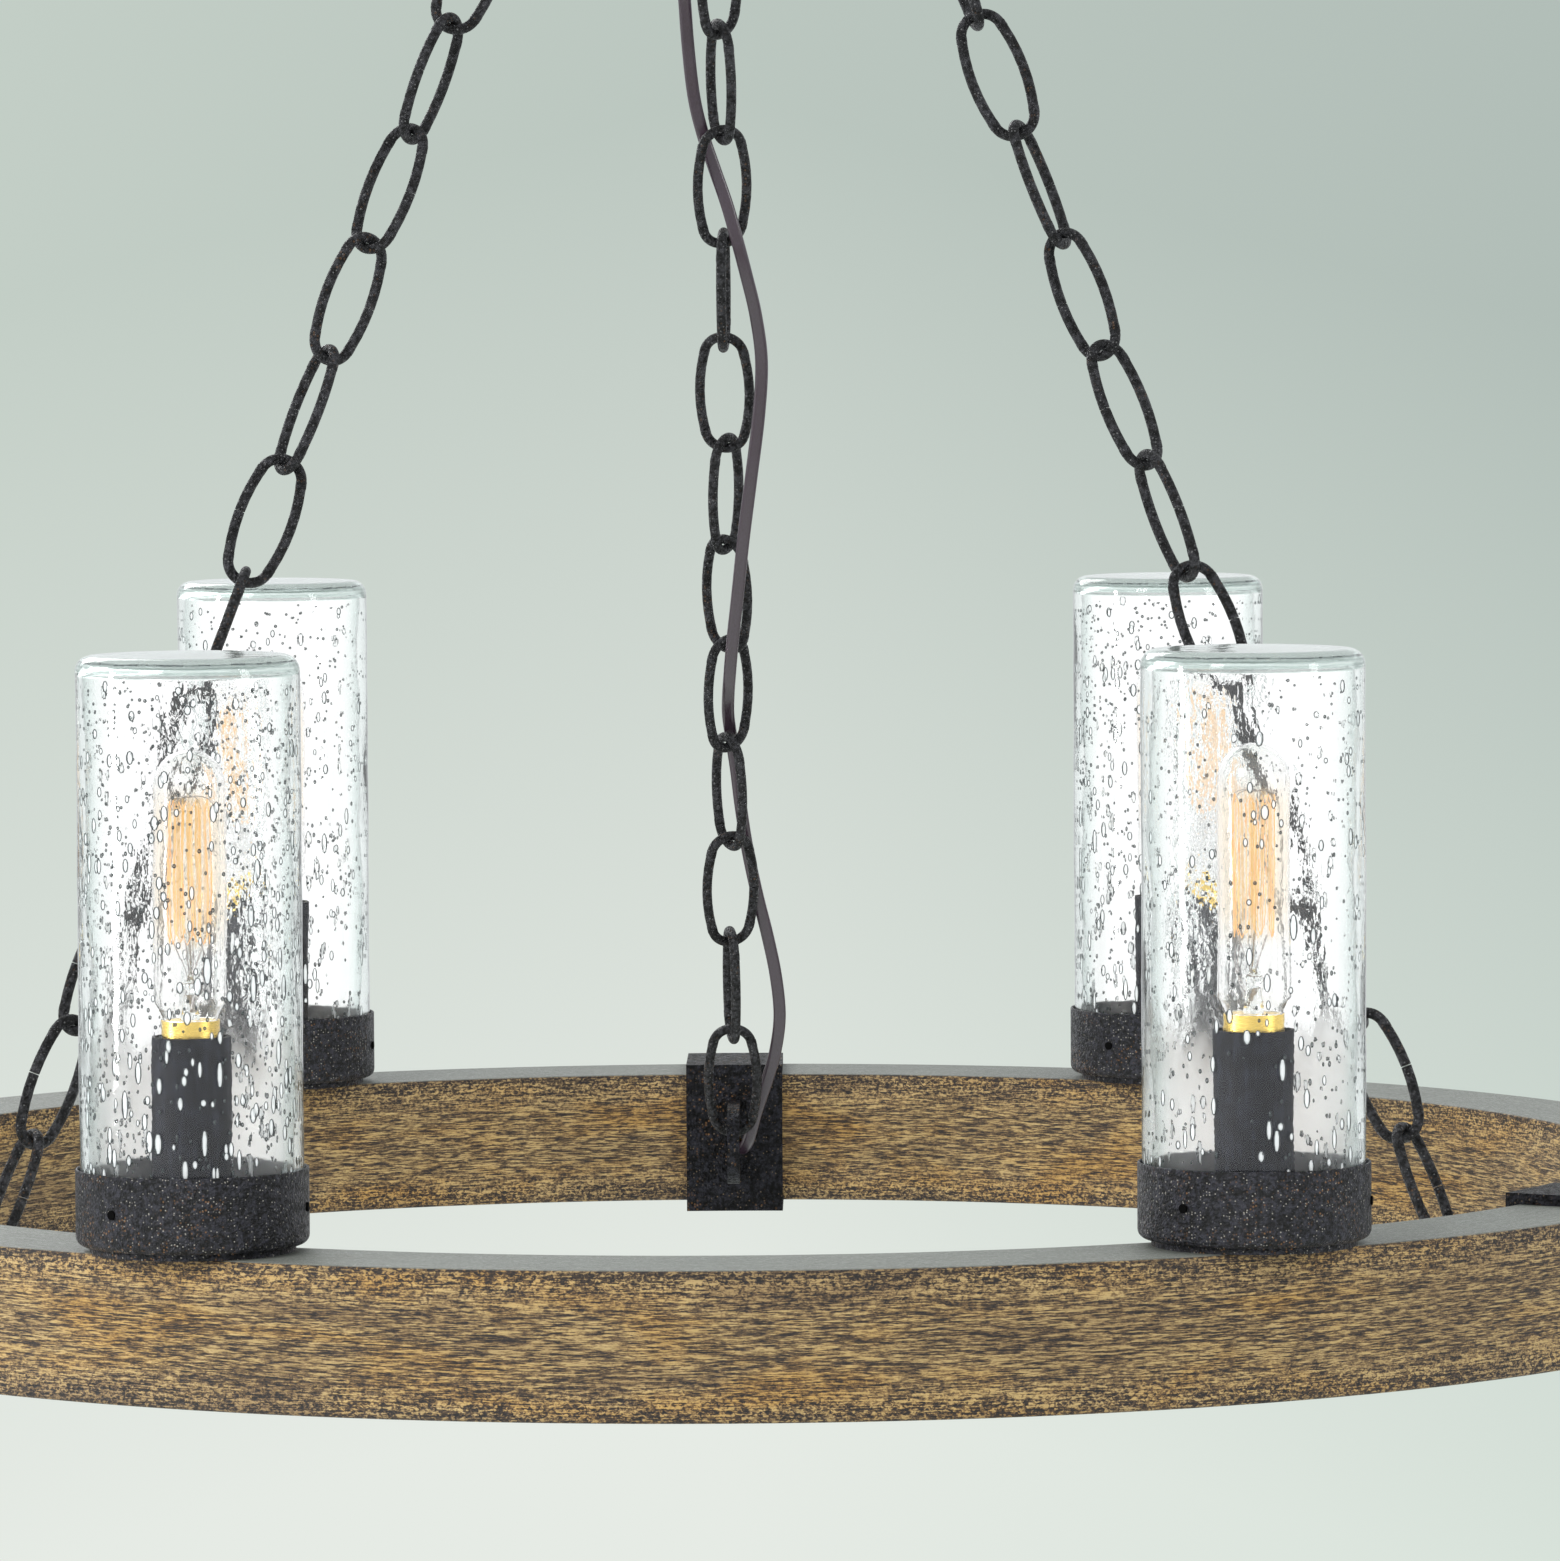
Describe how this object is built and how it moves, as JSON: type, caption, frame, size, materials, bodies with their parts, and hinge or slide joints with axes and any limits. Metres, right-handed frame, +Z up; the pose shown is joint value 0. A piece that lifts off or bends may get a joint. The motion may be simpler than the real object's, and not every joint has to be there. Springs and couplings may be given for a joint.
{
  "type": "ring chandelier",
  "caption": "Wooden ring chandelier with iron straps, tall seeded-glass cylinder shades over tubular lamps, hung from chains that meet at a hub below a round ceiling canopy.",
  "frame": {"origin": "middle of the mounting bar's top face, in the ceiling plane, between the two box-screw holes", "axes": "+Z up; +X to the viewer's right in the picture, along the mounting bar; +Y away from the viewer, towards the first bracket and the chain that carries the cord"},
  "size_m": [1.0284, 0.9912, 0.9935],
  "materials": {
    "wood_ring": "oiled, streaky grain",
    "bracket_iron": "blackened iron, satin",
    "chain_iron": "hammered black-brown",
    "canopy_iron": "blackened iron, satin",
    "cup_iron": "dark with rust-brown speckle",
    "sleeve_paint": "charcoal, matt",
    "seeded_glass": "clear, seeded with bubbles",
    "bulb_glass": "clear",
    "bulb_brass": "polished",
    "filament": "glowing wire",
    "socket_plastic": "matt black",
    "zinc_steel": "zinc plated",
    "black_screw": "black oxide",
    "cord_plastic": "matt black",
    "cord_skin": "dark brown, glossy"
  },
  "bodies": {
    "canopy": {"mounting_bar": "zinc_steel", "canopy": "canopy_iron", "canopy_loop": "bracket_iron", "cord_bushing": "cord_plastic", "cord_entry": "cord_skin"},
    "top_link": {"top_link": "chain_iron", "cord_rise": "cord_skin"},
    "fixture": {"ring_segment_1": "wood_ring", "ring_segment_2": "wood_ring", "ring_segment_3": "wood_ring", "ring_bracket_1": "bracket_iron", "ring_bracket_2": "bracket_iron", "ring_bracket_3": "bracket_iron", "chain_1": "chain_iron", "chain_2": "chain_iron", "chain_3": "chain_iron", "cup_1": "cup_iron", "cup_2": "cup_iron", "cup_3": "cup_iron", "cup_4": "cup_iron", "cup_5": "cup_iron", "cup_6": "cup_iron", "candle_sleeve_1": "sleeve_paint", "candle_sleeve_2": "sleeve_paint", "candle_sleeve_3": "sleeve_paint", "candle_sleeve_4": "sleeve_paint", "candle_sleeve_5": "sleeve_paint", "candle_sleeve_6": "sleeve_paint", "lamp_sockets": "socket_plastic", "socket_stems": "zinc_steel", "stem_nuts": "zinc_steel", "shade_screws": "black_screw", "hub": "bracket_iron", "hub_loop": "bracket_iron", "hub_nut": "bracket_iron", "supply_cord": "cord_skin"},
    "shade_1": {"glass_shade_1": "seeded_glass"},
    "bulb_1": {"bulb_base_1": "bulb_brass", "bulb_glass_1": "bulb_glass", "bulb_filament_1": "filament"},
    "shade_2": {"glass_shade_2": "seeded_glass"},
    "bulb_2": {"bulb_base_2": "bulb_brass", "bulb_glass_2": "bulb_glass", "bulb_filament_2": "filament"},
    "shade_3": {"glass_shade_3": "seeded_glass"},
    "bulb_3": {"bulb_base_3": "bulb_brass", "bulb_glass_3": "bulb_glass", "bulb_filament_3": "filament"},
    "shade_4": {"glass_shade_4": "seeded_glass"},
    "bulb_4": {"bulb_base_4": "bulb_brass", "bulb_glass_4": "bulb_glass", "bulb_filament_4": "filament"},
    "shade_5": {"glass_shade_5": "seeded_glass"},
    "bulb_5": {"bulb_base_5": "bulb_brass", "bulb_glass_5": "bulb_glass", "bulb_filament_5": "filament"},
    "shade_6": {"glass_shade_6": "seeded_glass"},
    "bulb_6": {"bulb_base_6": "bulb_brass", "bulb_glass_6": "bulb_glass", "bulb_filament_6": "filament"}
  },
  "joints": [
    {"name": "swing_front_back", "type": "hinge", "parent": "canopy", "child": "top_link", "pos_m": [0, 0, -0.067], "axis": [1, 0, 0], "range_deg": [-25, 25], "deforming": ["cord_entry"]},
    {"name": "swing_side", "type": "hinge", "parent": "top_link", "child": "fixture", "pos_m": [0, 0, -0.12215], "axis": [0, 1, 0], "range_deg": [-25, 25], "deforming": ["cord_rise"]},
    {"name": "shade_lift_1", "type": "slide", "parent": "fixture", "child": "shade_1", "axis": [0, 0, 1], "range_m": [0, 0.225]},
    {"name": "shade_lift_2", "type": "slide", "parent": "fixture", "child": "shade_2", "axis": [0, 0, 1], "range_m": [0, 0.225]},
    {"name": "shade_lift_3", "type": "slide", "parent": "fixture", "child": "shade_3", "axis": [0, 0, 1], "range_m": [0, 0.225]},
    {"name": "shade_lift_4", "type": "slide", "parent": "fixture", "child": "shade_4", "axis": [0, 0, 1], "range_m": [0, 0.225]},
    {"name": "shade_lift_5", "type": "slide", "parent": "fixture", "child": "shade_5", "axis": [0, 0, 1], "range_m": [0, 0.225]},
    {"name": "shade_lift_6", "type": "slide", "parent": "fixture", "child": "shade_6", "axis": [0, 0, 1], "range_m": [0, 0.225]},
    {"name": "bulb_out_1", "type": "slide", "parent": "fixture", "child": "bulb_1", "axis": [0, 0, 1], "range_m": [0, 0.024]},
    {"name": "bulb_out_2", "type": "slide", "parent": "fixture", "child": "bulb_2", "axis": [0, 0, 1], "range_m": [0, 0.024]},
    {"name": "bulb_out_3", "type": "slide", "parent": "fixture", "child": "bulb_3", "axis": [0, 0, 1], "range_m": [0, 0.024]},
    {"name": "bulb_out_4", "type": "slide", "parent": "fixture", "child": "bulb_4", "axis": [0, 0, 1], "range_m": [0, 0.024]},
    {"name": "bulb_out_5", "type": "slide", "parent": "fixture", "child": "bulb_5", "axis": [0, 0, 1], "range_m": [0, 0.024]},
    {"name": "bulb_out_6", "type": "slide", "parent": "fixture", "child": "bulb_6", "axis": [0, 0, 1], "range_m": [0, 0.024]}
  ]
}
